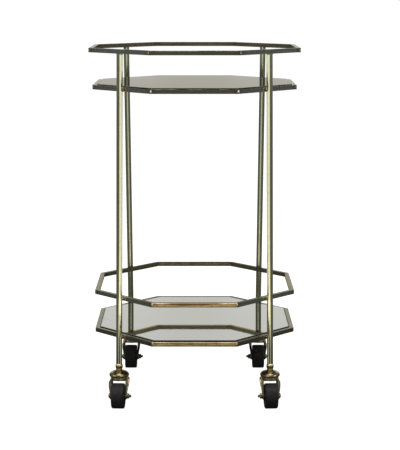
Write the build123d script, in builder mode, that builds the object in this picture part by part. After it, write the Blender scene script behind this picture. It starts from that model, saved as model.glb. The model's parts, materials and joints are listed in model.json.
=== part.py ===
from build123d import *
import os
from math import atan2, degrees, pi, sqrt, tan

os.makedirs("parts", exist_ok=True)

# Octagonal brass serving trolley: two mirror-topped shelves with guard rails,
# four tube legs and four stem casters.
# Frame: millimetres, +Z up, origin on the floor under the trolley's centre.
# -Y is the front, X runs left to right.

# ---------------------------------------------------------------- frame
bar = 9.0                 # side of the square brass bar, all hoops
bar_edge = 0.5            # broken edge on the bar
braze_gap = 0.05          # capillary gap at each mitre
shelf_apothem = 206.0     # centre of the octagon to the bar's centre line
tube_r = 6.35             # half-inch leg tube
tube_wall = 1.0
bore_r = tube_r - tube_wall
cope = 1.0                # how deep the legs sit in the hoops' outer faces

z_upper_rail = 738.0      # heights of the bars' centre lines
z_upper_shelf = 662.0
z_lower_rail = 230.0
z_lower_shelf = 148.0

leg_radius = shelf_apothem + bar / 2 + tube_r - cope   # along the diagonal
# How far each leg stands from the middle of its diagonal bar, along that bar and
# positive towards the side bar: at the upper shelf, then at the lower shelf.
front_stand = (-2.4, 6.2)
rear_stand = (-1.9, -8.3)
rail_in = 2.6             # upper rail sits on the legs, its centre line this far inside theirs
rail_apothem = leg_radius - rail_in
leg_bottom = 91.0
leg_top = z_upper_rail - bar / 2
plug_len = 6.0            # plug closing the top of each leg
socket_len = 32.0         # sleeve for the caster's stem, in the foot of each leg

# ---------------------------------------------------------------- shelf insides
inside = shelf_apothem - bar / 2   # apothem of the hoop's inner face
mirror_t = 5.0
mirror_proud = 1.8        # mirror face above the bar's top
bevel_wide = 1.5          # ground bevel round the mirror's edge
bevel_deep = 0.7
seal_t = 0.8              # black edge strip between mirror and bar
seal_low = 1.7            # strip's upright stops this far below the bar's top
seal_foot = 1.5           # thickness of the strip's foot under the mirror
seal_foot_wide = 5.0      # the foot's reach inwards from the upright
lug_t = 2.3               # brazed support lugs under the strip
lug_len = 24.0
lug_reach = 14.0

# ---------------------------------------------------------------- braze
fillet_reach = 8.0        # half length along the bar
fillet_high = 3.5         # rise from the bar's outer face
fillet_len = 8.0          # height along Z
bead_t = 1.4              # bead under the upper rail
bead_past = 2.0           # the bead's reach past each side of the leg

# ---------------------------------------------------------------- casters
wheel_r = 26.5
wheel_w = 27.0
trail = 20.0              # axle behind the swivel axis
hub_r = 14.0
hub_w = 28.0
sleeve_r = 5.0
axle_r = 3.0
running = 0.05            # radial running clearance
arm_in = 14.5             # inside face of the fork's arms
arm_t = 2.5
arm_out = arm_in + arm_t
flange_out = 20.2         # outer edge of the arms' flanges
flange_t = 2.0
eye_r = 7.6               # arm's rounded end about the axle
crown_len = 31.0          # crown, front to back
crown_r = 16.8            # crown's round outline
race_r = 16.4
race_top = 63.4
plate_low = 57.0          # crown plate
plate_t = 2.5
plate_top = plate_low + plate_t
cap_face = 65.0           # underside of the swivel cap
cap_top = 76.0
cap_r = 20.6
lip_low = 64.2            # bottom of the cap's lip
ball_r = 1.5
ball_pitch = 12.5         # radius of the ring of balls
ball_count = 16
ball_z = (race_top + cap_face) / 2
stem_r = 4.0
stem_top = 118.0
stem_edge = 1.0           # chamfer at the stem's top
stem_head_r = 8.0         # head under the crown
neck_hex = 5.9            # neck nut, centre to flat
collar_low = 78.0         # also the top of the neck nut
collar_r = 7.7
washer_r = 6.2
washer_t = 1.2
nut_hex = 5.0             # axle nut, centre to flat
nut_t = 4.8
bolt_past_nut = 4.2
bolt_edge = 0.8           # chamfer at the bolt's end
bolt_head_r = 5.8
bolt_head_t = 4.0
front_yaw = 3.5           # how far the front wheels swing outwards at rest

# side (-1 left, 1 right), end (-1 front, 1 rear), caster's rest angle, mirrored
corners = {
    "front_left": (-1, -1, -front_yaw, False),
    "front_right": (1, -1, front_yaw, True),
    "rear_left": (-1, 1, 0.0, False),
    "rear_right": (1, 1, 0.0, True),
}


def save(part, name):
    part.label = name
    export_step(part, "parts/" + name + ".step")


# ================================================================ leg lines
# Centre of a leg at a height.
def leg_at(corner, z):
    side, end = corners[corner][:2]
    upper, lower = front_stand if end < 0 else rear_stand
    stand = upper + (lower - upper) * (z_upper_shelf - z) / (z_upper_shelf - z_lower_shelf)
    return (side * (leg_radius + stand) / sqrt(2), end * (leg_radius - stand) / sqrt(2))


# Rod along a leg's leaning line: made too long, then cut level at both ends.
def leg_rod(corner, radius, low, high):
    spare = 5
    clip = 80             # square that clears the rod
    foot = Vector(*leg_at(corner, low - spare), low - spare)
    head = Vector(*leg_at(corner, high + spare), high + spare)
    middle = leg_at(corner, (low + high) / 2)
    with BuildPart() as rod:
        with BuildSketch(Plane(origin=foot, z_dir=head - foot)):
            Circle(radius)
        extrude(amount=(head - foot).length)
        with BuildSketch(Plane.XY.offset(low)):
            with Locations(middle):
                Rectangle(clip, clip)
        extrude(amount=high - low, mode=Mode.INTERSECT)
    return rod.part


feet = {corner: leg_at(corner, leg_bottom) for corner in corners}


# ================================================================ hoops
# One mitred bar of an octagonal hoop, lying on the -Y side.
def hoop_bar(apothem, z):
    inner = apothem - bar / 2
    outer = apothem + bar / 2
    inner_half = inner * tan(pi / 8) - braze_gap / 2
    outer_half = outer * tan(pi / 8) - braze_gap / 2
    with BuildPart() as one:
        with BuildSketch(Plane.XY.offset(z - bar / 2)):
            with BuildLine():
                Polyline(
                    (-inner_half, -inner), (inner_half, -inner),
                    (outer_half, -outer), (-outer_half, -outer),
                    close=True,
                )
            make_face()
        extrude(amount=bar)
        chamfer(one.edges().filter_by(Axis.X), bar_edge)
    return one.part


# Eight bars in a ring, with a groove for each coped leg.
def hoop(apothem, z, coped_legs):
    one = hoop_bar(apothem, z)
    with BuildPart() as ring:
        with PolarLocations(0, 8):
            add(one)
        for corner in coped_legs:
            add(leg_rod(corner, tube_r, z - bar, z + bar), mode=Mode.SUBTRACT)
    return ring.part


save(hoop(rail_apothem, z_upper_rail, ()), "upper_guard_rail")
save(hoop(shelf_apothem, z_upper_shelf, corners), "upper_shelf_frame")
save(hoop(shelf_apothem, z_lower_rail, corners), "lower_guard_rail")
save(hoop(shelf_apothem, z_lower_shelf, corners), "lower_shelf_frame")


# ================================================================ shelf insides
def octagon(apothem, mode=Mode.ADD):
    RegularPolygon(radius=apothem, side_count=8, major_radius=False, rotation=22.5, mode=mode)


# Mirror with its upper face at a height, bevelled round the edge.
def mirror_pane(face):
    with BuildPart() as pane:
        with BuildSketch(Plane.XY.offset(face - mirror_t)):
            octagon(inside - seal_t)
        extrude(amount=mirror_t - bevel_deep)
        with BuildSketch(Plane.XY.offset(face - bevel_deep)):
            octagon(inside - seal_t)
        with BuildSketch(Plane.XY.offset(face)):
            octagon(inside - seal_t - bevel_wide)
        loft(ruled=True)
    return pane.part


# L-shaped strip: a foot under the mirror, and an upright round it.
def edge_strip(foot_low, top):
    foot_top = foot_low + seal_foot
    with BuildPart() as strip:
        with BuildSketch(Plane.XY.offset(foot_low)):
            octagon(inside)
            octagon(inside - seal_t - seal_foot_wide, Mode.SUBTRACT)
        extrude(amount=seal_foot)
        with BuildSketch(Plane.XY.offset(foot_top)):
            octagon(inside)
            octagon(inside - seal_t, Mode.SUBTRACT)
        extrude(amount=top - foot_top)
    return strip.part


# One lug in the middle of each bar.
def support_lugs(top):
    with BuildPart() as lugs:
        with BuildSketch(Plane.XY.offset(top - lug_t)):
            with PolarLocations(inside - lug_reach / 2, 8):
                Rectangle(lug_reach, lug_len)
        extrude(amount=lug_t)
    return lugs.part


for shelf, z in (("upper", z_upper_shelf), ("lower", z_lower_shelf)):
    bar_top = z + bar / 2
    face = bar_top + mirror_proud
    foot_low = face - mirror_t - seal_foot
    save(mirror_pane(face), shelf + "_mirror")
    save(edge_strip(foot_low, bar_top - seal_low), shelf + "_edge_strip")
    save(support_lugs(foot_low), shelf + "_support_lugs")


# ================================================================ legs
for corner in corners:
    with BuildPart() as leg:
        add(leg_rod(corner, tube_r, leg_bottom, leg_top))
        add(leg_rod(corner, bore_r, leg_bottom, leg_top), mode=Mode.SUBTRACT)
    save(leg.part, corner + "_leg")

with BuildPart() as leg_top_plugs:
    for corner in corners:
        add(leg_rod(corner, bore_r, leg_top - plug_len, leg_top))
save(leg_top_plugs.part, "leg_top_plugs")

# The sockets lean with the legs; their holes are upright.
with BuildPart() as stem_sockets:
    for corner in corners:
        add(leg_rod(corner, bore_r, leg_bottom, leg_bottom + socket_len))
    with BuildSketch(Plane.XY.offset(leg_bottom)):
        with Locations(*feet.values()):
            Circle(stem_r)
    extrude(amount=socket_len, mode=Mode.SUBTRACT)
save(stem_sockets.part, "stem_sockets")


# ================================================================ braze
# Place on a corner's diagonal, a distance inwards of the leg's centre, X outwards.
def braze_at(corner, z, inwards):
    side, end = corners[corner][:2]
    x, y = leg_at(corner, z)
    turn = degrees(atan2(end, side))
    return Location((x - side * inwards / sqrt(2), y - end * inwards / sqrt(2), 0), (0, 0, turn))


# Half width of the leg where the fillet's top meets it.
fillet_top_half = sqrt(tube_r ** 2 - (tube_r - cope - fillet_high) ** 2)

# A wedge of filler each side of every leg at each hoop, and a small bead under
# the upper rail.
with BuildPart() as braze_fillets:
    for corner in corners:
        for z in (z_upper_shelf, z_lower_rail, z_lower_shelf):
            with BuildSketch(Plane.XY.offset(z - fillet_len / 2)):
                with Locations(braze_at(corner, z, tube_r - cope)):
                    with BuildLine(mode=Mode.PRIVATE) as wedge:
                        Polyline(
                            (0, -fillet_reach), (0, fillet_reach),
                            (fillet_high, fillet_top_half), (fillet_high, -fillet_top_half),
                            close=True,
                        )
                    add(make_face(wedge.edges(), mode=Mode.PRIVATE))
            extrude(amount=fillet_len)
        with BuildSketch(Plane.XY.offset(leg_top - bead_t)):
            with Locations(braze_at(corner, leg_top, rail_in)):
                Rectangle(bar - 2 * bar_edge, 2 * (tube_r + bead_past))
        extrude(amount=bead_t)
    for corner in corners:
        add(leg_rod(corner, tube_r, z_lower_shelf - 2 * bar, leg_top), mode=Mode.SUBTRACT)
save(braze_fillets.part, "braze_fillets")


# ================================================================ caster swivel
# Each caster piece is modelled about the swivel axis, trailing towards -Y,
# bolt head on -X, then placed at the four legs. Profiles here are (radius, z).
with BuildPart() as stem:
    with BuildSketch(Plane.XZ):
        with BuildLine():
            Polyline(
                (0, plate_low - 2.8), (6.5, plate_low - 2.8), (stem_head_r, plate_low - 1.6),
                (stem_head_r, plate_low - running), (stem_r, plate_low - running),
                (stem_r, stem_top - stem_edge), (stem_r - stem_edge, stem_top), (0, stem_top),
                close=True,
            )
        make_face()
    revolve(axis=Axis.Z)

# Bulging collar between the neck nut and the leg.
with BuildPart() as stem_collar:
    with BuildSketch(Plane.XZ):
        with BuildLine():
            Line((stem_r, collar_low), (5.4, collar_low))
            ThreePointArc((5.4, collar_low), (collar_r, collar_low + 6.2), (5.9, leg_bottom))
            Line((5.9, leg_bottom), (stem_r, leg_bottom))
            Line((stem_r, leg_bottom), (stem_r, collar_low))
        make_face()
    revolve(axis=Axis.Z)

with BuildPart() as neck_nut:
    with BuildSketch(Plane.XY.offset(cap_top)):
        RegularPolygon(radius=neck_hex, side_count=6, major_radius=False)
        Circle(stem_r, mode=Mode.SUBTRACT)
    extrude(amount=collar_low - cap_top)

# Domed outside of the swivel cap, from its flat top down to its rim.
cap_dome = ((7.2, cap_top), (14.0, 73.9), (18.9, 71.2), (cap_r, 68.0), (19.9, 64.6))

with BuildPart() as swivel_cap:
    with BuildSketch(Plane.XZ):
        with BuildLine():
            Line((stem_r, cap_face), (stem_r, cap_top))
            Line((stem_r, cap_top), cap_dome[0])
            Spline(*cap_dome)
            Line(cap_dome[-1], (19.1, lip_low))
            Line((19.1, lip_low), (17.6, lip_low))
            Line((17.6, lip_low), (17.0, cap_face))
            Line((17.0, cap_face), (stem_r, cap_face))
        make_face()
        with Locations((ball_pitch, ball_z)):
            Circle(ball_r + running, mode=Mode.SUBTRACT)
    revolve(axis=Axis.Z)

with BuildPart() as balls:
    with Locations((0, 0, ball_z)):
        with PolarLocations(ball_pitch, ball_count):
            Sphere(ball_r)


# ================================================================ caster fork
# Side view of a fork arm, as (y, z): front edge, eye round the axle, rear edge,
# with the caster's trailing side at -y.
shoulder = crown_len / 2
eye_right = (-trail + 6.58, wheel_r - eye_r / 2)
eye_under = (-trail - 1.97, wheel_r - 7.34)
eye_left = (-trail - eye_r, wheel_r)

with BuildSketch(Plane.XY) as arm_outline:
    with BuildLine():
        Line((-shoulder, plate_top), (shoulder, plate_top))
        Line((shoulder, plate_top), (16.5, 53.0))
        ThreePointArc((16.5, 53.0), (6.0, 35.8), eye_right)
        ThreePointArc(eye_right, eye_under, eye_left)
        ThreePointArc(eye_left, (-23.2, 39.2), (-16.5, 51.0))
        Line((-16.5, 51.0), (-shoulder, plate_top))
    make_face()

with BuildPart() as fork:
    # crown with its pressed raceway
    with BuildSketch(Plane.XY.offset(plate_low)):
        Rectangle(2 * arm_out, crown_len)
        Circle(crown_r)
    extrude(amount=plate_t)
    with BuildSketch(Plane.XY.offset(plate_top)):
        Circle(race_r)
    extrude(amount=race_top - plate_top)
    # right arm: plate, then the outward stiffening flange round its edge
    with BuildSketch(Plane.YZ.offset(arm_in)):
        add(arm_outline.sketch_local)
    extrude(amount=arm_t)
    with BuildSketch(Plane.YZ.offset(arm_out)):
        add(arm_outline.sketch_local)
        offset(amount=-flange_t, mode=Mode.SUBTRACT)
    extrude(amount=flange_out - arm_out)
    # the flange tapers away towards the axle and slopes off at the shoulder
    with BuildSketch(Plane.XZ.offset(-40)):
        with BuildLine():
            Polyline(
                (arm_out, 15.0), (arm_out, 31.0), (flange_out, 47.0), (flange_out, 55.0),
                (arm_out + 0.4, plate_top), (40, plate_top), (40, 15.0),
                close=True,
            )
        make_face()
    extrude(amount=80, mode=Mode.SUBTRACT)
    mirror(about=Plane.YZ)
    # swivel hole, ball groove and axle hole
    with BuildSketch(Plane.XY.offset(plate_low - 1)):
        Circle(stem_r + running)
    extrude(amount=20, mode=Mode.SUBTRACT)
    with BuildSketch(Plane.XZ):
        with Locations((ball_pitch, ball_z)):
            Circle(ball_r + running)
    revolve(axis=Axis.Z, mode=Mode.SUBTRACT)
    with BuildSketch(Plane.YZ.offset(-30)):
        with Locations((-trail, wheel_r)):
            Circle(axle_r)
    extrude(amount=60, mode=Mode.SUBTRACT)


# ================================================================ axle and wheel
# Turned pieces are revolved about X through the wheel's centre; their profiles
# are (x, radius).
axle_axis = Axis((0, -trail, wheel_r), (1, 0, 0))
axle_plane = Plane(origin=(0, -trail, wheel_r), x_dir=(1, 0, 0), z_dir=(0, -1, 0))
head_end = -arm_out - bolt_head_t
bolt_end = arm_out + washer_t + nut_t + bolt_past_nut

with BuildPart() as axle_bolt:
    with BuildSketch(axle_plane):
        with BuildLine():
            Line((head_end, 0), (bolt_end, 0))
            Line((bolt_end, 0), (bolt_end, axle_r - bolt_edge))
            Line((bolt_end, axle_r - bolt_edge), (bolt_end - bolt_edge, axle_r))
            Line((bolt_end - bolt_edge, axle_r), (-arm_out, axle_r))
            Line((-arm_out, axle_r), (-arm_out, bolt_head_r))
            Line((-arm_out, bolt_head_r), (-arm_out - 0.9, bolt_head_r))
            ThreePointArc((-arm_out - 0.9, bolt_head_r), (-arm_out - 3.1, 4.1), (head_end, 1.5))
            Line((head_end, 1.5), (head_end, 0))
        make_face()
    revolve(axis=axle_axis)


# Round or hexagonal piece with the axle's hole, from x = start towards +X.
def axle_ring(start, length, radius, hexagonal=False):
    with BuildPart() as ring:
        with BuildSketch(Plane.YZ.offset(start)):
            with Locations((-trail, wheel_r)):
                if hexagonal:
                    RegularPolygon(radius=radius, side_count=6, major_radius=False)
                else:
                    Circle(radius)
                Circle(axle_r, mode=Mode.SUBTRACT)
        extrude(amount=length)
    return ring.part


# Turned ring, symmetric about x = 0, from the left half of its profile.
def wheel_ring(left_half):
    right_half = [(-x, radius) for x, radius in reversed(left_half)]
    with BuildPart() as ring:
        with BuildSketch(axle_plane):
            with BuildLine():
                Polyline(*left_half, *right_half, close=True)
            make_face()
        revolve(axis=axle_axis)
    return ring.part


hub_side = -hub_w / 2
wheel_side = -wheel_w / 2

# Hub: a boss at each end and a rim for the tyre.
hub_profile = [
    (hub_side, sleeve_r + running), (hub_side, 8.4), (hub_side + 0.8, 9.0),
    (wheel_side + 3.2, 9.4), (wheel_side + 3.2, 12.0),
    (wheel_side + 1.2, 12.4), (wheel_side + 1.2, hub_r),
]

# Tyre: flat tread with bevelled shoulders and a small slope where it meets the hub.
tyre_profile = [
    (wheel_side + 0.8, hub_r), (wheel_side, 15.0), (wheel_side, wheel_r - 2.6),
    (wheel_side + 0.7, wheel_r - 0.9), (wheel_side + 2.6, wheel_r),
]

# ================================================================ placing
swivelling = {
    "swivel_cap": swivel_cap.part,
    "swivel_balls": balls.part,
    "fork": fork.part,
    "axle_bolt": axle_bolt.part,
    "axle_washer": axle_ring(arm_out, washer_t, washer_r),
    "axle_nut": axle_ring(arm_out + washer_t, nut_t, nut_hex, hexagonal=True),
    "axle_sleeve": axle_ring(-arm_in, 2 * arm_in, sleeve_r),
    "wheel_hub": wheel_ring(hub_profile),
    "tyre": wheel_ring(tyre_profile),
}

# Each is turned by its caster's rest angle, and mirrored on the right-hand side
# so that the nuts face inwards.
for corner, (side, end, yaw, mirrored) in corners.items():
    for piece, master in swivelling.items():
        shape = master.mirror(Plane.YZ) if mirrored else master
        with BuildPart() as placed:
            with Locations(Location((*feet[corner], 0), (0, 0, yaw))):
                add(shape)
        save(placed.part, corner + "_" + piece)

# Pieces fixed to the legs, one file for all four of a kind.
fixed = {"caster_stems": stem, "stem_collars": stem_collar, "neck_nuts": neck_nut}
for name, master in fixed.items():
    with BuildPart() as four:
        with Locations(*feet.values()):
            add(master.part)
    save(four.part, name)
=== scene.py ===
"""An octagonal two-tier trolley: brass hoops and legs, mirror shelves and four casters.

It stands on z = 0, centred on the z axis, with its front towards -y and its right towards +x.
Lengths are in metres; names and tables marked mm are in millimetres.
"""

import itertools
import json
import math
from collections import namedtuple
from types import SimpleNamespace

import bmesh
import bpy
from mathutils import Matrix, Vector, noise


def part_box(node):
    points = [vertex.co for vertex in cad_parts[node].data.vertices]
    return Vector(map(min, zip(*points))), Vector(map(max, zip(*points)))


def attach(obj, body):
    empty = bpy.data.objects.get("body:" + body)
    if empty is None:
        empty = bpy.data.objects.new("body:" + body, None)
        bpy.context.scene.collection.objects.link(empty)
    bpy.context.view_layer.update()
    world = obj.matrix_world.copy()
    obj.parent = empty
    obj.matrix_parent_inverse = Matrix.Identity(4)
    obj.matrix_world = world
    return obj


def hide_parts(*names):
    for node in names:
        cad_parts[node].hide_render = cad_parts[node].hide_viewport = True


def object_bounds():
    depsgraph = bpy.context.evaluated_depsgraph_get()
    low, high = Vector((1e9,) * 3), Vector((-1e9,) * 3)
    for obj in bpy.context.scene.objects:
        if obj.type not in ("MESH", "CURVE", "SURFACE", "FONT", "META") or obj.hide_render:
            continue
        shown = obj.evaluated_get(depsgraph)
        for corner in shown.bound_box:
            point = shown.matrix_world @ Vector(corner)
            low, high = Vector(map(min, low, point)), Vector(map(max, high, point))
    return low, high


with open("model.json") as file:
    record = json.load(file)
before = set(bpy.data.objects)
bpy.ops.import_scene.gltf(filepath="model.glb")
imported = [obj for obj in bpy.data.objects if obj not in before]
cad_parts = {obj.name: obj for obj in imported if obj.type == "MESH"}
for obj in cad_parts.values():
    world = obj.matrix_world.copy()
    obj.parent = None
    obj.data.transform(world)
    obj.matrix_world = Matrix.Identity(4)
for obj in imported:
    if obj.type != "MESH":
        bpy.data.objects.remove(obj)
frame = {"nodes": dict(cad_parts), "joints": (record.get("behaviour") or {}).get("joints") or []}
cad_lo, cad_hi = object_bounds()
NODES = frame["nodes"]
JOINTS = {joint["name"]: joint for joint in frame["joints"]}
CORNERS = ("front_left", "front_right", "rear_left", "rear_right")
MM = 0.001
UP = Vector((0, 0, 1))
BAR_TURN = math.pi / 4      # from one bar of an octagonal hoop to the next


# ---------------------------------------------------------------- places in the frame
def leg_line(corner):
    """Centre of a leg at its foot and at its top."""
    points = [vert.co for vert in NODES[corner + "_leg"].data.vertices]
    heights = [point.z for point in points]
    ends = []
    for height in (min(heights), max(heights)):
        ring = [point for point in points if abs(point.z - height) < 1e-5]
        low = Vector([min(point[i] for point in ring) for i in range(3)])
        high = Vector([max(point[i] for point in ring) for i in range(3)])
        ends.append((low + high) / 2)
    return ends


def leg_at(corner, z):
    foot, top = LEGS[corner]
    return foot.lerp(top, (z - foot.z) / (top.z - foot.z))


def inward(corner):
    """Sign of x from a corner towards the middle."""
    return 1 if "left" in corner else -1


def measure_hoop(name):
    low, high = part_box(name)
    return Hoop(outer=high.x, z=(low.z + high.z) / 2, bar=high.z - low.z)


LEGS = {corner: leg_line(corner) for corner in CORNERS}
Hoop = namedtuple("Hoop", "outer z bar")    # half width, middle height, bar thickness
HOOP_NAMES = ("upper_guard_rail", "upper_shelf_frame", "lower_guard_rail", "lower_shelf_frame")
HOOPS = {name: measure_hoop(name) for name in HOOP_NAMES}

low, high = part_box("rear_left_tyre")
WHEEL_RADIUS = (high.z - low.z) / 2 / MM    # mm
WHEEL_HALF = (high.x - low.x) / 2 / MM      # mm
low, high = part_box("rear_left_wheel_hub")
HUB_HALF = (high.x - low.x) / 2 / MM        # mm


# ---------------------------------------------------------------- node helpers
class Signal:
    """A node's output; arithmetic on it adds math nodes."""

    def __init__(self, nodes, socket):
        self.nodes = nodes
        self.socket = socket

    def beside(self, name):
        """Another output of the same node."""
        return Signal(self.nodes, self.socket.node.outputs[name])

    def __add__(self, other):
        return self.nodes.math("ADD", self, other)

    def __radd__(self, other):
        return self.nodes.math("ADD", other, self)

    def __sub__(self, other):
        return self.nodes.math("SUBTRACT", self, other)

    def __rsub__(self, other):
        return self.nodes.math("SUBTRACT", other, self)

    def __mul__(self, other):
        return self.nodes.math("MULTIPLY", self, other)

    def __truediv__(self, other):
        return self.nodes.math("DIVIDE", self, other)

    def __abs__(self):
        return self.nodes.math("ABSOLUTE", self)


class NodeBuilder:
    """Builds the node tree of a material or a world."""

    def __init__(self, owner, output="ShaderNodeOutputMaterial"):
        owner.use_nodes = True
        self.owner = owner
        self.tree = owner.node_tree
        self.tree.nodes.clear()
        self.output = self.tree.nodes.new(output)

    def finish(self, surface):
        self.put(self.output.inputs[0], surface)
        return self.owner

    def put(self, socket, value):
        if isinstance(value, Signal):
            self.tree.links.new(value.socket, socket)
        elif isinstance(value, tuple) and len(value) == 3 and socket.type == "RGBA":
            socket.default_value = (*value, 1.0)
        else:
            socket.default_value = value

    def add(self, kind, inputs=None, output=0, **settings):
        node = self.tree.nodes.new(kind)
        for key, value in settings.items():
            setattr(node, key, value)
        for key, value in (inputs or {}).items():
            self.put(node.inputs[key], value)
        return Signal(self, node.outputs[output])

    def shader(self, kind, **inputs):
        """A shader node; underscores in the input names stand for spaces."""
        named = {key.replace("_", " "): value for key, value in inputs.items()}
        return self.add("ShaderNode" + kind, named)

    def mix_shaders(self, factor, first, second):
        return self.add("ShaderNodeMixShader", {0: factor, 1: first, 2: second})

    def math(self, operation, first, second=0.0, clamp=False):
        return self.add("ShaderNodeMath", {0: first, 1: second},
                        operation=operation, use_clamp=clamp)

    def vector_math(self, operation, inputs, output="Vector"):
        return self.add("ShaderNodeVectorMath", inputs, output, operation=operation)

    def normalize(self, vector):
        return self.vector_math("NORMALIZE", {0: vector})

    def scale(self, vector, factor):
        return self.vector_math("SCALE", {0: vector, "Scale": factor})

    def dot(self, first, second):
        return self.vector_math("DOT_PRODUCT", {0: first, 1: second}, "Value")

    def split(self, vector):
        x = self.add("ShaderNodeSeparateXYZ", {0: vector})
        return x, x.beside("Y"), x.beside("Z")

    def join(self, x, y, z):
        return self.add("ShaderNodeCombineXYZ", {0: x, 1: y, 2: z})

    def linear(self, value, over, to=(0.0, 1.0), curve="LINEAR"):
        """Maps the range over onto the range to, held at its ends."""
        inputs = dict(enumerate((value, *over, *to)))
        return self.add("ShaderNodeMapRange", inputs, interpolation_type=curve, clamp=True)

    def smooth(self, value, over, to=(0.0, 1.0)):
        return self.linear(value, over, to, "SMOOTHSTEP")

    def mix(self, factor, first, second):
        return self.add("ShaderNodeMix", {0: factor, 6: first, 7: second}, output=2,
                        data_type="RGBA", clamp_factor=True)

    def noise(self, place, scale, detail, roughness, distortion=0.0):
        inputs = {"Vector": place, "Scale": scale, "Detail": detail,
                  "Roughness": roughness, "Distortion": distortion}
        return self.add("ShaderNodeTexNoise", inputs, "Fac")

    def cells(self, place, scale):
        """Distance to the nearest of scattered points."""
        return self.add("ShaderNodeTexVoronoi", {"Vector": place, "Scale": scale}, "Distance")

    def bump(self, height, strength, distance, under=None):
        inputs = {"Strength": strength, "Distance": distance, "Height": height}
        if under is not None:
            inputs["Normal"] = under
        return self.add("ShaderNodeBump", inputs)

    def object_position(self):
        return self.add("ShaderNodeTexCoord", output="Object")

    def geometry(self, output):
        return self.add("ShaderNodeNewGeometry", output=output)

    def ray_is(self, kind):
        return self.add("ShaderNodeLightPath", output="Is %s Ray" % kind)

    def camera_axis(self, axis):
        turned = self.add("ShaderNodeVectorTransform", {0: axis}, vector_type="VECTOR",
                          convert_from="CAMERA", convert_to="WORLD")
        return self.split(turned)

    def camera_forward(self):
        """The camera's forward direction, flattened to the horizontal, length one."""
        forward = self.camera_axis((0.0, 0.0, 1.0))
        upward = self.camera_axis((0.0, 1.0, 0.0))
        # a camera that looks straight down has its own up as the horizontal forward
        x = forward[0] + upward[0] * abs(forward[2])
        y = forward[1] + upward[1] * abs(forward[2])
        return self.normalize(self.join(x, y, 0.0))


def new_material(name):
    return NodeBuilder(bpy.data.materials.new(name))


def tinted(colour, factor):
    return tuple(factor * part for part in colour)


# ---------------------------------------------------------------- world
def make_world():
    """White for the camera; for reflections, a dim room with white paper behind the trolley.

    The room turns with the camera.
    """
    world = bpy.data.worlds.new("studio")
    bpy.context.scene.world = world
    sky = NodeBuilder(world, "ShaderNodeOutputWorld")
    x, y, z = sky.split(sky.normalize(sky.add("ShaderNodeTexCoord", output="Generated")))
    flat = sky.normalize(sky.join(x, y, 0.0))
    ahead = sky.dot(flat, sky.camera_forward())
    paper = sky.smooth(ahead, over=(0.80, 0.94)) * (1.0 - sky.smooth(z, over=(0.52, 0.78)))
    halo = sky.smooth(ahead, over=(0.35, 0.85))
    room_light, paper_light, halo_light, ceiling_loss = 0.16, 0.86, 0.03, 0.05
    light = room_light + paper * paper_light
    light = light + halo * halo_light
    light = light - sky.smooth(z, over=(0.45, 0.75)) * ceiling_loss
    tint = sky.mix(paper, (0.88, 1.02, 1.06), (1.0, 1.0, 1.0))
    reflected = sky.shader("Background", Color=tint, Strength=light)
    seen = sky.shader("Background", Color=(1, 1, 1), Strength=1.02)
    sky.finish(sky.mix_shaders(sky.ray_is("Camera"), reflected, seen))


make_world()


# ---------------------------------------------------------------- floor
FLOOR_RADII = (0.3, 0.6, 1.0, 1.6, 2.6, 4.5, 8.0)
FLOOR_SEGMENTS = 96
FLOOR_Z = -0.0004


def floor_paper():
    """White paper; in reflections it is lit in a strip before and behind the trolley."""
    mat = new_material("floor_paper")
    pos = mat.geometry("Position")
    forward = mat.camera_forward()
    forward_x, forward_y, _ = mat.split(forward)
    right = mat.join(forward_y, forward_x * -1.0, 0.0)
    depth = mat.dot(pos, forward)
    across = abs(mat.dot(pos, right))
    strip = 1.0 - mat.smooth(across, over=(0.28, 0.50))
    before = (mat.smooth(depth, over=(-1.75, -1.15))
              * (1.0 - mat.smooth(depth, over=(-0.74, -0.62))))
    behind = mat.smooth(depth, over=(0.35, 0.7))
    either = mat.math("MAXIMUM", before, behind)
    radial = mat.vector_math("LENGTH", {0: pos}, "Value")
    strip_light = 0.56
    dim_light = mat.smooth(radial, over=(0.45, 0.80), to=(0.05, 0.12))
    light = dim_light + strip * either * strip_light
    tone = mat.mix(strip * either, (0.93, 1.0, 0.95), (1.0, 0.84, 0.55))
    grain = mat.noise(pos, scale=180.0, detail=4.0, roughness=0.6)
    glow = mat.linear(grain, over=(0.3, 0.7), to=(0.985, 1.0)) * 0.99
    paper = mat.shader("BsdfDiffuse", Color=(0.80, 0.80, 0.80))
    white = mat.shader("Emission", Color=(1, 1, 1), Strength=glow)
    reflected = mat.shader("Emission", Color=tone, Strength=light)
    seen = mat.add("ShaderNodeAddShader", {0: paper, 1: white})
    return mat.finish(mat.mix_shaders(mat.ray_is("Camera"), reflected, seen))


def make_floor():
    """A disc of widening rings."""
    mesh = bmesh.new()
    inner = None
    for radius in FLOOR_RADII:
        angles = [2 * math.pi * k / FLOOR_SEGMENTS for k in range(FLOOR_SEGMENTS)]
        ring = [mesh.verts.new((radius * math.cos(a), radius * math.sin(a), 0.0))
                for a in angles]
        if inner is None:
            mesh.faces.new(ring)
        else:
            for k in range(FLOOR_SEGMENTS):
                after = (k + 1) % FLOOR_SEGMENTS
                mesh.faces.new((inner[k], ring[k], ring[after], inner[after]))
        inner = ring
    data = bpy.data.meshes.new("floor")
    mesh.to_mesh(data)
    mesh.free()
    floor = bpy.data.objects.new("floor", data)
    bpy.context.scene.collection.objects.link(floor)
    floor.location.z = FLOOR_Z
    data.materials.append(floor_paper())


make_floor()


# ---------------------------------------------------------------- camera
CAMERA_PLACE = (0.0, -2.8701, 0.8643)
CAMERA_TILT = 0.1745        # radians below the horizontal


def make_camera():
    data = bpy.data.cameras.new("camera")
    data.sensor_width = 36.0
    data.sensor_fit = "AUTO"
    data.lens = 107.792
    data.shift_x = 0.012
    data.clip_start = 0.05
    data.clip_end = 60.0
    camera = bpy.data.objects.new("camera", data)
    camera.location = CAMERA_PLACE
    camera.rotation_euler = (math.pi / 2 - CAMERA_TILT, 0.0, 0.0)
    bpy.context.scene.collection.objects.link(camera)
    bpy.context.scene.camera = camera


make_camera()


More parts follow.
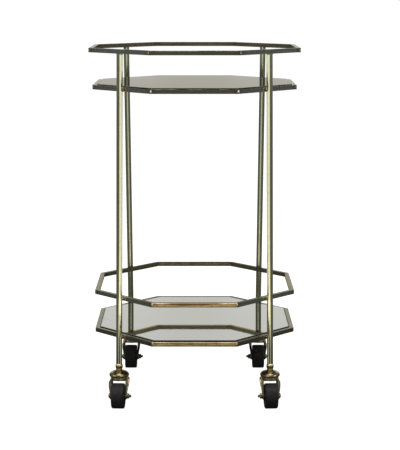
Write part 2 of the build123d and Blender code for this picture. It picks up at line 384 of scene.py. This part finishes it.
# ---------------------------------------------------------------- brass
def bar_number(mat, x, y):
    """Which bar of an octagon a point is on: 0 at the front, 2 at the right, odd on diagonals."""
    return mat.math("ROUND", mat.math("ARCTAN2", x, y * -1.0) / BAR_TURN)


def bar_direction(mat, number):
    angle = number * BAR_TURN
    return mat.math("COSINE", angle), mat.math("SINE", angle)


def outward_part(x, y, cosine, sine):
    return x * sine - y * cosine


def bar_place(mat, pos):
    """Position along, out of and up an octagon's bar, and the bar's number."""
    x, y, z = mat.split(pos)
    number = bar_number(mat, x, y)
    cosine, sine = bar_direction(mat, number)
    return SimpleNamespace(along=x * cosine + y * sine, z=z, number=number,
                           out=outward_part(x, y, cosine, sine),
                           shift=number * 0.731)    # moves the grain from bar to bar


# Each grain gives coordinates for long streaks and for fine brushing.
def bar_grain(mat, bar):
    line = mat.join(bar.along * 9.0 + bar.shift, bar.out * 110.0, bar.z * 150.0)
    brush = mat.join(bar.along * 30.0 + bar.shift, bar.out * 1900.0, bar.z * 1900.0)
    return line, brush


def tube_grain(mat, pos):
    x, y, z = mat.split(pos)
    line = mat.join(x * 130.0, y * 130.0, z * 7.0)
    brush = mat.join(x * 900.0, y * 900.0, z * 60.0)
    return line, brush


def plain_grain(mat, pos):
    return mat.scale(pos, 90.0), mat.scale(pos, 700.0)


def bar_tone(mat, pos, bar, face):
    """Share of upper lip, and the bars' colour by side, hoop and lip; these colours are painted
    reflection and shade, not the brass's own colour.
    """
    cosine, sine = bar_direction(mat, bar.number)
    normal_x, normal_y, normal_z = mat.split(mat.geometry("Normal"))
    outward = outward_part(normal_x, normal_y, cosine, sine)
    outward = mat.smooth(outward, over=(0.4, 0.8))
    lip = mat.smooth(normal_z, over=(0.80, 0.95))
    diagonal = abs(mat.math("SINE", bar.number * (math.pi / 2)))
    square = 1.0 - diagonal

    # which hoop this is, and the height on its bar from -1 to 1
    heights = sorted(hoop.z for hoop in HOOPS.values())
    steps = list(zip(heights, heights[1:]))
    above = [mat.math("GREATER_THAN", bar.z, (a + b) / 2) for a, b in steps]
    centre = heights[0]
    for is_above, (lower, upper) in zip(above, steps):
        centre = is_above * (upper - lower) + centre
    on_bar = (bar.z - centre) / (HOOPS["upper_guard_rail"].bar / 2)

    def by_hoop(colour, *higher):
        """One colour for each hoop, lowest first."""
        for is_above, following in zip(above, higher):
            colour = mat.mix(is_above, colour, following)
        return colour

    # painted reflection and shade: each hoop's outward faces get their own lit colour, golden on
    # the lower square bars, greyer on the diagonals
    diagonal_painted_light = by_hoop((0.27, 0.25, 0.185), (0.40, 0.43, 0.355),
                            (0.45, 0.44, 0.37), (0.46, 0.45, 0.385))
    square_painted_light = by_hoop((0.49, 0.41, 0.235), (0.58, 0.475, 0.285),
                          (0.37, 0.335, 0.24), (0.36, 0.33, 0.235))
    tone = mat.mix(outward * square, face, square_painted_light)
    tone = mat.mix(outward * diagonal, tone, diagonal_painted_light)

    # painted reflection: a dark wavy band along the upper part of the lower hoops' square bars,
    # standing for a dark reflection in their faces
    wave = mat.noise(mat.join(bar.along * 24.0, bar.shift, centre),
                     scale=1.0, detail=2.0, roughness=0.5)
    streak_edge = mat.linear(wave, over=(0.32, 0.68), to=(-0.25, 0.75))
    dark_reflection_band = mat.smooth(on_bar - streak_edge, over=(-0.18, 0.18))
    dark_reflection_band = dark_reflection_band * (1.0 - mat.smooth(abs(bar.along), over=(0.044, 0.062)))
    dark_reflection_band = dark_reflection_band * (outward * square)
    amount = by_hoop((0.5, 0.5, 0.5), (0.9, 0.9, 0.9), (0.0, 0.0, 0.0), (0.0, 0.0, 0.0))
    dark_reflection_band = dark_reflection_band * mat.split(amount)[0]
    tone = mat.mix(dark_reflection_band, tone, (0.15, 0.095, 0.04))

    # upper lips: painted reflection for each hoop, with painted shade at the near and far sides
    depth = mat.dot(pos, mat.camera_forward())
    lip_painted_light = by_hoop((0.25, 0.24, 0.195), (0.25, 0.24, 0.195),
                       (0.40, 0.40, 0.36), (0.42, 0.42, 0.38))
    in_upper_tier = above[1]
    far = mat.smooth(depth, over=(0.10, 0.17), to=(0.0, 0.80)) * (1.0 - in_upper_tier)
    near_low, near_extra = 0.66, 0.24       # painted shade below, and what the upper tier adds
    near = (mat.smooth(depth, over=(-0.19, -0.15), to=(1.0, 0.0))
            * (near_low + in_upper_tier * near_extra))
    lip_painted_light = mat.mix(far + near, lip_painted_light, (0.05, 0.045, 0.03))
    return lip, mat.mix(lip, tone, lip_painted_light)


def brass(name, face, streak, patina, edge=None, brown=(0.22, 0.12, 0.045),
          dark=(0.10, 0.085, 0.05), rough=0.14, pits=0.5, grain=plain_grain):
    """Aged metal: face and edge colours, brown patina, dark streaks and pits."""
    mat = new_material(name)
    pos = mat.object_position()
    on_bars = grain is bar_grain
    if on_bars:
        bar = bar_place(mat, pos)
        line, brush = bar_grain(mat, bar)
        # for bars the face colour now carries the painted reflection and shade of bar_tone
        lip, face = bar_tone(mat, pos, bar, face)
        colour = face
    else:
        line, brush = grain(mat, pos)
        normal = mat.geometry("Normal")
        facing = abs(mat.dot(normal, normal.beside("Incoming")))
        colour = mat.mix(mat.smooth(facing, over=(0.05, 0.45)), edge, face)
    clouds = mat.noise(pos, scale=16.0, detail=4.0, roughness=0.6)
    blotches = mat.noise(pos, scale=95.0, detail=6.0, roughness=0.62, distortion=0.5)
    streaks = mat.noise(line, scale=1.0, detail=3.0, roughness=0.55)
    fine = mat.noise(brush, scale=1.0, detail=2.0, roughness=0.5)
    pit = mat.cells(pos, scale=520.0)

    shade, streak_share = 0.72, 0.35
    colour = mat.mix(mat.linear(clouds, over=(0.3, 0.7), to=(0.0, 0.35)),
                     colour, mat.scale(colour, shade))
    colour = mat.mix(mat.smooth(blotches, over=(0.47, 0.74)) * patina, colour, brown)
    colour = mat.mix(mat.smooth(streaks, over=(0.55, 0.80)) * (streak_share * patina),
                     colour, dark)
    if on_bars:
        # bars are burnt brown towards their ends, except on the lips
        burnt_share, lip_share = 0.55, 0.90
        ends = mat.smooth(abs(bar.along), over=(0.0700, 0.0835))
        burnt = ends * mat.linear(blotches, over=(0.25, 0.75), to=(0.35, 1.0))
        colour = mat.mix(burnt * burnt_share, colour, brown)
        colour = mat.mix(lip * lip_share, colour, face)
    speck = ((1.0 - mat.smooth(pit, over=(0.08, 0.22)))
             * mat.smooth(blotches, over=(0.35, 0.65), to=(0.25 * pits, pits)))
    colour = mat.mix(speck, colour, dark)
    # edges worn bright
    worn, worn_gain = mat.geometry("Pointiness"), 1.35
    colour = mat.mix(mat.smooth(worn, over=(0.52, 0.58), to=(0.0, 0.5)),
                     colour, mat.scale(colour, worn_gain))
    if on_bars:
        # brighter as seen in the mirrors, where the bars' undersides catch the panes' light
        mirror_gain = 1.1
        colour = mat.scale(colour, 1.0 + mat.ray_is("Glossy") * mirror_gain)

    speck_rough, speck_matt, base_matt = 0.3, 0.5, 0.06
    roughness = rough + mat.linear(blotches, over=(0.25, 0.75), to=(-0.04, 0.12))
    roughness = mat.math("ADD", roughness, speck * speck_rough, clamp=True)
    normal = mat.bump(fine, strength=0.25, distance=0.00006)
    normal = mat.bump(blotches, strength=0.30, distance=0.00016, under=normal)
    normal = mat.bump(streaks, strength=streak, distance=0.0005, under=normal)
    shiny = mat.shader("BsdfGlossy", Color=colour, Roughness=roughness, Normal=normal)
    matt = mat.shader("BsdfDiffuse", Color=mat.mix(0.5, colour, brown), Normal=normal)
    matt_share = mat.math("ADD", base_matt, speck * speck_matt, clamp=True)
    return mat.finish(mat.mix_shaders(matt_share, shiny, matt))


# ---------------------------------------------------------------- glass and rubber
def mirror_glass(name, back, front, far_edge_reflection):
    """Grey mirror: silvered above, brown backing paint below, faint dust and foxing; its tint is
    painted reflection, changing from front to back and darker down the middle.
    """
    pane_half = 0.2
    mat = new_material(name)
    pos = mat.object_position()
    x, y, _ = mat.split(pos)
    age = mat.noise(pos, scale=7.0, detail=4.0, roughness=0.55)
    dust = mat.noise(pos, scale=260.0, detail=4.0, roughness=0.65)
    fox = mat.noise(pos, scale=34.0, detail=5.0, roughness=0.7)

    # painted reflection: the tint runs from the front colour to the back colour and darkens down
    # the middle
    colour = mat.mix(mat.linear(y, over=(-pane_half, pane_half)), front, back)
    middle_shade_share, spot_share = 0.5, 0.22
    middle = 1.0 - mat.smooth(abs(x), over=(0.02, 0.13))
    colour = mat.mix(middle * middle_shade_share, colour, tinted(front, 0.86))
    colour = mat.mix(mat.linear(age, over=(0.35, 0.7), to=(0.0, 0.5)),
                     colour, tinted(back, 0.93))
    rim = mat.smooth(mat.math("MAXIMUM", abs(x), abs(y)), over=(0.176, 0.199))
    spots = rim * mat.smooth(fox, over=(0.60, 0.72))
    colour = mat.mix(spots * spot_share, colour, (0.12, 0.10, 0.07))
    # painted reflection: the far edge of the pane is darkened, standing for the dark inner edge
    # of its frame seen in the mirror
    bar_x, bar_y, _ = mat.split(pos)
    cosine, sine = bar_direction(mat, bar_number(mat, bar_x, bar_y))
    out = outward_part(bar_x, bar_y, cosine, sine)
    depth = mat.dot(pos, mat.camera_forward())
    far = mat.smooth(out, over=(0.1905, 0.1945)) * mat.smooth(depth, over=(0.09, 0.14))
    colour = mat.mix(far * far_edge_reflection, colour, (0.07, 0.065, 0.05))

    silver = mat.shader("BsdfGlossy", Color=colour,
                        Roughness=mat.linear(dust, over=(0.3, 0.8), to=(0.015, 0.05)),
                        Normal=mat.bump(age, strength=0.02, distance=0.002))
    film = mat.shader("BsdfDiffuse", Color=(0.55, 0.54, 0.50))
    mirror = mat.mix_shaders(mat.smooth(dust, over=(0.55, 0.85), to=(0.004, 0.05)),
                             silver, film)
    paint_colour = mat.mix(mat.smooth(fox, over=(0.3, 0.7)),
                           (0.16, 0.12, 0.09), (0.10, 0.08, 0.065))
    paint = mat.shader("BsdfPrincipled", Base_Color=paint_colour,
                       Roughness=mat.linear(dust, over=(0.3, 0.7), to=(0.55, 0.8)),
                       Normal=mat.bump(dust, strength=0.4, distance=0.0004))
    # painted shade: the ground edge of the glass is painted nearly black as the shadow in the gap
    # beside its frame, with a faint green tint, and painted lighter where it faces upwards
    facing_up = mat.split(mat.geometry("Normal"))[2]
    ground = mat.mix(mat.smooth(fox, over=(0.3, 0.7)),
                     (0.020, 0.022, 0.017), (0.045, 0.045, 0.032))
    ground = mat.mix(mat.smooth(facing_up, over=(0.6, 0.85)), ground, (0.13, 0.125, 0.105))
    edge = mat.shader("BsdfPrincipled", Base_Color=ground,
                      Roughness=mat.linear(dust, over=(0.3, 0.7), to=(0.25, 0.45)),
                      Normal=mat.bump(dust, strength=0.3, distance=0.0003))
    top = mat.mix_shaders(mat.smooth(facing_up, over=(0.93, 0.97)), edge, mirror)
    below = mat.smooth(facing_up * -1.0, over=(0.5, 0.7))
    return mat.finish(mat.mix_shaders(below, top, paint))


def rubber(name, base, worn, rough, scuff=0.5):
    """Dark moulding with worn patches and pale lint."""
    mat = new_material(name)
    pos = mat.object_position()
    patches = mat.noise(pos, scale=150.0, detail=6.0, roughness=0.65)
    fine = mat.noise(pos, scale=1500.0, detail=3.0, roughness=0.6)
    lint = mat.cells(pos, scale=900.0)
    lint_share = 0.35
    lint_colour = tuple(min(1.0, 2.2 * part + 0.02) for part in worn)
    colour = mat.mix(mat.smooth(patches, over=(0.42, 0.72)), base, worn)
    colour = mat.mix((1.0 - mat.smooth(lint, over=(0.05, 0.16))) * lint_share,
                     colour, lint_colour)
    roughness = mat.linear(patches, over=(0.3, 0.7), to=(rough - 0.1, rough + 0.12))
    normal = mat.bump(fine, strength=0.35, distance=0.0003)
    normal = mat.bump(patches, strength=scuff, distance=0.0006, under=normal)
    return mat.finish(mat.shader("BsdfPrincipled", Base_Color=colour, Roughness=roughness,
                                 Specular_IOR_Level=0.4, Normal=normal))


MATERIALS = {
    "bar": brass("aged_brass_bar", face=(0.35, 0.31, 0.205), streak=1.0, patina=0.4,
                 grain=bar_grain),
    "tube": brass("polished_brass_tube", face=(0.60, 0.585, 0.40), edge=(0.56, 0.54, 0.40),
                  brown=(0.34, 0.27, 0.14), rough=0.07, streak=0.05, patina=0.25, pits=0.35,
                  grain=tube_grain),
    "caster": brass("brassed_steel", face=(0.50, 0.42, 0.23), edge=(0.42, 0.37, 0.23),
                    brown=(0.20, 0.135, 0.055), rough=0.19, streak=0.25, patina=0.6, pits=0.7),
    "collar": brass("turned_brass", face=(0.44, 0.375, 0.235), edge=(0.40, 0.355, 0.235),
                    brown=(0.30, 0.20, 0.08), rough=0.16, streak=0.1, patina=0.4, pits=0.4),
    "braze": brass("braze_metal", face=(0.29, 0.25, 0.125), edge=(0.27, 0.235, 0.13),
                   brown=(0.12, 0.085, 0.04), rough=0.24, streak=0.4, patina=0.8, pits=0.7),
    "seam": brass("mitre_filler", face=(0.66, 0.62, 0.48), edge=(0.60, 0.57, 0.45),
                  brown=(0.24, 0.15, 0.06), rough=0.18, streak=0.3, patina=0.45, pits=0.4),
    # both panes are the same glass; their different tints are painted reflection, the upper one
    # darker
    "upper_mirror": mirror_glass("mirror_glass_upper", back=(0.44, 0.42, 0.385),
                                 front=(0.395, 0.38, 0.325), far_edge_reflection=0.0),
    "lower_mirror": mirror_glass("mirror_glass_lower", back=(0.55, 0.545, 0.51),
                                 front=(0.515, 0.525, 0.485), far_edge_reflection=0.85),
    # rubber glazing strip, painted near-black as the shadow in the gap between glass and frame
    "strip": rubber("edge_strip_shadow_rubber", base=(0.012, 0.011, 0.009),
                    worn=(0.03, 0.028, 0.022), rough=0.6),
    "tyre": rubber("tyre_rubber", base=(0.034, 0.031, 0.032),
                   worn=(0.074, 0.064, 0.058), rough=0.55),
    "hub": rubber("hub_moulding", base=(0.016, 0.013, 0.011),
                  worn=(0.035, 0.028, 0.022), rough=0.42, scuff=0.3),
    "steel": brass("plain_steel", face=(0.5, 0.5, 0.5), edge=(0.5, 0.5, 0.5),
                   brown=(0.25, 0.2, 0.16), dark=(0.15, 0.14, 0.13), rough=0.22, streak=0.2,
                   patina=0.3, pits=0.4),
}


def material_key(name):
    """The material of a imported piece; the first match counts."""
    if name in ("upper_mirror", "lower_mirror"):
        return name
    if "edge_strip" in name:
        return "strip"
    if name.endswith("_tyre"):
        return "tyre"
    if name.endswith("_wheel_hub"):
        return "hub"
    if "balls" in name or "sleeve" in name:
        return "steel"
    if name.endswith("_leg") or name == "leg_top_plugs":
        return "tube"
    if name == "stem_collars":
        return "collar"
    if name == "braze_fillets":
        return "braze"
    if "rail" in name or "shelf_frame" in name or "lugs" in name:
        return "bar"
    return "caster"


for name, node in NODES.items():
    node.data.materials.clear()
    node.data.materials.append(MATERIALS[material_key(name)])


# ---------------------------------------------------------------- mesh helpers
def piece(name, mesh, body, material):
    bmesh.ops.recalc_face_normals(mesh, faces=mesh.faces)
    data = bpy.data.meshes.new(name)
    mesh.to_mesh(data)
    mesh.free()
    data.polygons.foreach_set("use_smooth", [True] * len(data.polygons))
    data.materials.append(MATERIALS[material])
    made = bpy.data.objects.new(name, data)
    bpy.context.scene.collection.objects.link(made)
    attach(made, body)
    return made


def skin(mesh, first, second, segments):
    """Faces between two rings; a ring of one vertex is a point on the axis."""
    for j in range(segments):
        after = (j + 1) % segments
        if len(first) == 1:
            mesh.faces.new((first[0], second[j], second[after]))
        elif len(second) == 1:
            mesh.faces.new((first[j], second[0], first[after]))
        else:
            mesh.faces.new((first[j], second[j], second[after], first[after]))


def lump(mesh, centre, axes, radii, seed, rough=0.16, segments=20, rings=12):
    """A closed, uneven blob: an ellipsoid, radii in mm, pushed about by noise."""
    broad_shift = Vector((seed * 3.1, seed * 1.7, seed * 0.9))
    fine_shift = Vector((seed, seed * 2.3, seed * 4.1))
    rows = []
    for i in range(rings + 1):
        polar = math.pi * i / rings
        row = []
        for j in range(segments if 0 < i < rings else 1):
            turn = 2 * math.pi * j / segments
            ray = Vector((math.sin(polar) * math.cos(turn),
                          math.sin(polar) * math.sin(turn), math.cos(polar)))
            swell = 1.0 + rough * noise.noise(ray * 1.7 + broad_shift)
            swell += 0.4 * rough * noise.noise(ray * 5.0 + fine_shift)
            point = centre.copy()
            for axis, part, radius in zip(axes, ray, radii):
                point += axis * (part * radius * MM * swell)
            row.append(mesh.verts.new(point))
        rows.append(row)
    for first, second in zip(rows, rows[1:]):
        skin(mesh, first, second, segments)


# ---------------------------------------------------------------- braze and mitre filler
BRAZE_INSET = 5.35          # mm, from a leg's axis towards the middle
# mm: sideways from the leg, outwards, up, radii (sideways, outwards, up)
BRAZE_BEADS = (
    (5.1, 1.3, 0.0, (3.7, 2.9, 3.7)),
    (8.6, 0.1, 0.4, (4.3, 1.3, 3.5)),
)
TOP_BEADS = 8
TOP_RING = (6.5, 3.9)       # mm, sideways and outwards
seeds = itertools.count(2)


def make_braze():
    """Hand-run braze beside every leg at three hoops, and under the upper rail."""
    mesh = bmesh.new()
    for corner in CORNERS:
        outward = Vector((-inward(corner), -1 if "front" in corner else 1, 0)).normalized()
        sideways = Vector((-outward.y, outward.x, 0))
        axes = (sideways, outward, UP)
        for name in HOOP_NAMES[1:]:
            base = leg_at(corner, HOOPS[name].z) - outward * BRAZE_INSET * MM
            for side in (-1, 1):
                for aside, out, rise, radii in BRAZE_BEADS:
                    offset = (sideways * side * aside + outward * out + UP * rise) * MM
                    lump(mesh, base + offset, axes, radii, next(seeds))
        top = leg_at(corner, LEGS[corner][1].z - 0.4 * MM)
        for k in range(TOP_BEADS):
            angle = 2 * math.pi * k / TOP_BEADS
            offset = (sideways * math.cos(angle) * TOP_RING[0]
                      + outward * math.sin(angle) * TOP_RING[1]) * MM
            lump(mesh, top + offset, axes, (1.9, 1.7, 1.2), next(seeds), segments=12, rings=8)
    made = piece("hand_braze", mesh, "frame", "braze")
    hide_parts("braze_fillets")
    return made


def make_seams():
    """Filler a little proud of each mitre: down the outer corner and over the top."""
    mesh = bmesh.new()
    for hoop in HOOPS.values():
        outer = hoop.outer / math.cos(math.pi / 8)
        inner = (hoop.outer - hoop.bar) / math.cos(math.pi / 8)
        half = hoop.bar / 2
        for k in range(8):
            angle = math.pi / 8 + k * BAR_TURN
            outward = Vector((math.cos(angle), math.sin(angle), 0))
            axes = (outward, Vector((-outward.y, outward.x, 0)), UP)
            lump(mesh, outward * (outer - 1.36 * MM) + UP * hoop.z, axes,
                 (1.5, 2.3, half / MM - 0.05), next(seeds), rough=0.05, segments=28, rings=14)
            over_top = (outward * ((outer + inner) / 2 - 0.3 * MM)
                        + UP * (hoop.z + half - 0.42 * MM))
            lump(mesh, over_top, axes, ((outer - inner) / 2 / MM - 0.7, 0.75, 0.6),
                 next(seeds), rough=0.08, segments=16, rings=10)
    # held just inside the frame's overall size
    margin = 0.01 * MM
    for vert in mesh.verts:
        for i in range(3):
            vert.co[i] = min(max(vert.co[i], cad_lo[i] + margin), cad_hi[i] - margin)
    return piece("mitre_seams", mesh, "frame", "seam")


braze = make_braze()
seams = make_seams()


# ---------------------------------------------------------------- axle bolts, tyres and hubs
def wheel_frame(corner):
    """Centre and axes of a wheel: outwards along its axle, across, up."""
    joint = JOINTS[corner + "_roll"]
    out = Vector(joint["axis"]).normalized()
    if "left" in corner:
        out = -out
    return Vector(joint["pos_m"]), out, UP.cross(out), UP


def lathe(mesh, place, profile, segments, cut=None, close=True):
    """Turns a profile of (along, radius) in mm about the axle; cut changes the radius."""
    centre, out, across, up = place
    rows = []
    for x, radius in profile:
        middle = centre + out * (x * MM)
        if radius < 1e-4:
            rows.append([mesh.verts.new(middle)])
            continue
        row = []
        for j in range(segments):
            turn = 2 * math.pi * j / segments
            reach = (radius + (cut(x, turn) if cut else 0.0)) * MM
            ray = across * math.cos(turn) + up * math.sin(turn)
            row.append(mesh.verts.new(middle + ray * reach))
        rows.append(row)
    pairs = list(zip(rows, rows[1:]))
    if close:
        pairs.append((rows[-1], rows[0]))
    for first, second in pairs:
        skin(mesh, first, second, segments)


def both_sides(half_profile):
    """Turns (radius, along) from bore to middle into a whole (along, radius) outline."""
    return ([(x, radius) for radius, x in half_profile]
            + [(-x, radius) for radius, x in reversed(half_profile)])


# mm along the axle from the wheel's middle, outwards
HEAD_START = 17.0
TIP = -(HEAD_START + 10.2)
SHANK_RADIUS = 2.98
THREAD_PITCH, THREAD_DEPTH = 1.0, 0.36
THREAD_RINGS, THREAD_STEP = 31, 0.125
DOME_START, DOME_RADIUS, DOME_RISE = HEAD_START + 1.1, 5.7, 2.85


def thread_cut(x, turn):
    if not TIP + 0.15 <= x <= TIP + 4.3:
        return 0.0
    phase = (x / THREAD_PITCH - turn / (2 * math.pi)) % 1.0
    return -THREAD_DEPTH * abs(2 * phase - 1)


def make_bolt(corner, place):
    """Domed head outside, threaded end inside."""
    profile = [(TIP, 0.0), (TIP, 1.6), (TIP + 0.2, 2.2)]
    profile += [(TIP + 0.3 + THREAD_STEP * k, SHANK_RADIUS) for k in range(THREAD_RINGS)]
    profile += [(TIP + 4.2, SHANK_RADIUS), (-14.6, SHANK_RADIUS), (HEAD_START, SHANK_RADIUS),
                (HEAD_START, 5.6), (HEAD_START + 0.15, 5.78), (HEAD_START + 0.8, 5.8),
                (DOME_START, DOME_RADIUS)]
    for k in range(1, 9):
        angle = math.pi / 2 * k / 9
        profile.append((DOME_START + DOME_RISE * math.sin(angle),
                        DOME_RADIUS * math.cos(angle)))
    profile.append((HEAD_START + 3.97, 0.0))
    mesh = bmesh.new()
    lathe(mesh, place, profile, segments=48, cut=thread_cut, close=False)
    made = piece(corner + "_bolt", mesh, corner + "_caster", "caster")
    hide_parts(corner + "_axle_bolt")


def make_tyre(corner, place):
    """Rounded shoulders, a mould line round the middle and a ring groove on each side."""
    half = WHEEL_HALF
    shoulder = 2.65
    # mm: radius, distance from the middle plane
    outline = [(14.05, half - 0.9), (14.6, half - 0.35), (15.4, half - 0.15),
               (16.2, half - 0.02), (18.6, half - 0.05), (18.9, half - 0.35),
               (19.6, half - 0.35), (19.9, half - 0.05), (WHEEL_RADIUS - 3.0, half - 0.1)]
    for k in range(9):
        angle = math.pi / 2 * k / 8
        outline.append((WHEEL_RADIUS - 2.8 + shoulder * math.sin(angle),
                        half - 0.15 - shoulder * (1 - math.cos(angle))))
    outline += [(WHEEL_RADIUS - 0.08, 6.0), (WHEEL_RADIUS - 0.04, 2.0),
                (WHEEL_RADIUS - 0.04, 0.45), (WHEEL_RADIUS - 0.01, 0.25)]
    mesh = bmesh.new()
    lathe(mesh, place, both_sides(outline), segments=120)
    made = piece(corner + "_tyre_moulded", mesh, corner + "_wheel", "tyre")
    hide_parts(corner + "_tyre")


def make_hub(corner, place):
    """Dished disc with eight ribs each side between boss and rim."""
    half, boss = WHEEL_HALF, HUB_HALF - 0.1
    # mm: radius, distance from the middle plane
    outline = [(5.06, boss), (8.2, boss), (8.7, boss - 0.2), (9.0, boss - 0.7),
               (9.3, half - 2.9), (9.7, half - 3.4), (11.4, half - 3.4), (11.8, half - 2.9),
               (12.2, half - 1.4), (12.5, half - 1.2), (13.9, half - 1.2)]
    mesh = bmesh.new()
    lathe(mesh, place, both_sides(outline), segments=96)
    centre, out, across, up = place
    for side in (-1, 1):
        for k in range(8):
            turn = 2 * math.pi * (k + 0.5) / 8
            ray = across * math.cos(turn) + up * math.sin(turn)
            rib = centre + (ray * 10.6 + out * (side * (half - 3.2))) * MM
            lump(mesh, rib, (ray, ray.cross(out), out), (2.2, 0.7, 1.7), seed=1.0,
                 rough=0.0, segments=12, rings=8)
    made = piece(corner + "_hub_moulded", mesh, corner + "_wheel", "hub")
    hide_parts(corner + "_wheel_hub")


for corner in CORNERS:
    place = wheel_frame(corner)
    make_bolt(corner, place)
    make_tyre(corner, place)
    make_hub(corner, place)

# softened edges on the pressed and machined pieces
for name, node in NODES.items():
    if name.endswith(("_fork", "_axle_nut", "_axle_washer")) or name == "neck_nuts":
        weld = node.modifiers.new("weld", "WELD")
        weld.merge_threshold = 1e-5
        bevel = node.modifiers.new("soft_edges", "BEVEL")
        bevel.width = 0.00035 if "fork" in name else 0.00045
        bevel.segments = 2
        bevel.limit_method = "ANGLE"
        bevel.angle_limit = math.radians(35)


# ---------------------------------------------------------------- lights
def softbox(name, place, target, size, power, color=(1, 1, 1), only=None):
    """An area light aimed at a target; only lists the objects it lights."""
    data = bpy.data.lights.new(name, "AREA")
    data.shape = "RECTANGLE"
    data.size, data.size_y = size
    data.energy = power
    data.color = color
    light = bpy.data.objects.new(name, data)
    light.location = place
    aim = Vector(target) - Vector(place)
    light.rotation_euler = aim.to_track_quat("-Z", "Y").to_euler()
    light.visible_camera = False
    bpy.context.scene.collection.objects.link(light)
    if only:
        lit = bpy.data.collections.new(name + "_lights")
        for item in only:
            lit.objects.link(item)
        light.light_linking.receiver_collection = lit


def panel(name, about, azimuth, distance, half_angle, span, radiance, color, only):
    """An upright softbox round a point, over a span of heights.

    Angles are in degrees; azimuth is 0 towards the front and + to the right.
    """
    bottom, top = span
    angle = math.radians(azimuth)
    target = Vector((about.x, about.y, (bottom + top) / 2))
    centre = target + Vector((math.sin(angle), -math.cos(angle), 0.0)) * distance
    width = 2 * distance * math.tan(math.radians(half_angle))
    height = top - bottom
    power = math.pi * radiance * width * height
    softbox(name, centre, target, (width, height), power, color, only)


# name, place up the leg (0 foot, 1 top), azimuth towards the middle,
# distance, half angle, height span, radiance, colour
FRONT_LEG_PANELS = (
    ("_key", 0.5, 27.0, 0.62, 28.0, (0.0, 0.95), 1.0, (1.0, 0.99, 0.97)),
    ("_key_mid", 0.5, 76.0, 0.62, 24.0, (0.0, 0.95), 0.92, (1.0, 0.99, 0.97)),
    ("_key_far", 0.5, 122.0, 0.62, 24.0, (0.0, 0.95), 0.6, (1.0, 0.98, 0.95)),
    ("_low", 0.0, -16.0, 0.15, 9.0, (0.0, 0.19), 0.55, (1.0, 0.97, 0.90)),
    ("_low_in", 0.0, 62.0, 0.15, 9.0, (0.0, 0.19), 0.75, (1.0, 0.97, 0.90)),
)
REAR_LEG_PANELS = (
    ("_key", 0.5, 8.0, 1.1, 24.0, (0.0, 0.95), 0.55, (0.98, 1.0, 0.97)),
)


def light_legs(corners, panels):
    for corner in corners:
        foot, top = LEGS[corner]
        for ending, share, azimuth, *rest in panels:
            panel(corner + ending, foot.lerp(top, share), inward(corner) * azimuth, *rest,
                  only=[NODES[corner + "_leg"]])


light_legs(CORNERS[:2], FRONT_LEG_PANELS)
for side in (-1, 1):
    panel("seam_panel_%d" % (side > 0), Vector((0.0, 0.0, 0.0)), azimuth=side * 46.0,
          distance=1.3, half_angle=27.0, span=(0.35, 1.3), radiance=0.85,
          color=(1.0, 0.98, 0.93), only=[seams])
light_legs(CORNERS[2:], REAR_LEG_PANELS)
softbox("top_soft", place=(0.0, -0.75, 2.2), target=(0, 0, 0.2), size=(1.6, 0.9), power=14.0)
for corner in CORNERS:
    foot, side = LEGS[corner][0], inward(corner)
    metal = [NODES[corner + ending]
             for ending in ("_swivel_cap", "_fork", "_axle_nut", "_axle_washer")]
    metal += [NODES["stem_collars"], NODES["neck_nuts"], bpy.data.objects[corner + "_bolt"]]
    softbox(corner + "_caster_fill", place=(foot.x + side * 0.35, foot.y - 0.55, 0.42),
            target=(foot.x, foot.y, 0.07), size=(0.40, 0.42), power=0.80,
            color=(1.0, 0.95, 0.86), only=metal)
    softbox(corner + "_caster_side", place=(foot.x - side * 0.50, foot.y - 0.30, 0.30),
            target=(foot.x, foot.y, 0.05), size=(0.30, 0.30), power=0.50,
            color=(1.0, 0.96, 0.88), only=metal + [bpy.data.objects[corner + "_tyre_moulded"]])
softbox("seam_glint", place=(0.0, -1.6, 0.75), target=(0, 0, 0.45), size=(0.5, 1.3),
        power=8.0, color=(1.0, 0.97, 0.9), only=[seams, braze])


# ---------------------------------------------------------------- colour and sampling
scene = bpy.context.scene
scene.view_settings.view_transform = "Standard"
scene.view_settings.look = "None"
scene.view_settings.exposure = 0.0
scene.view_settings.gamma = 1.0
scene.cycles.max_bounces = 10
scene.cycles.glossy_bounces = 6
scene.cycles.sample_clamp_indirect = 4.0
scene.cycles.use_denoising = True
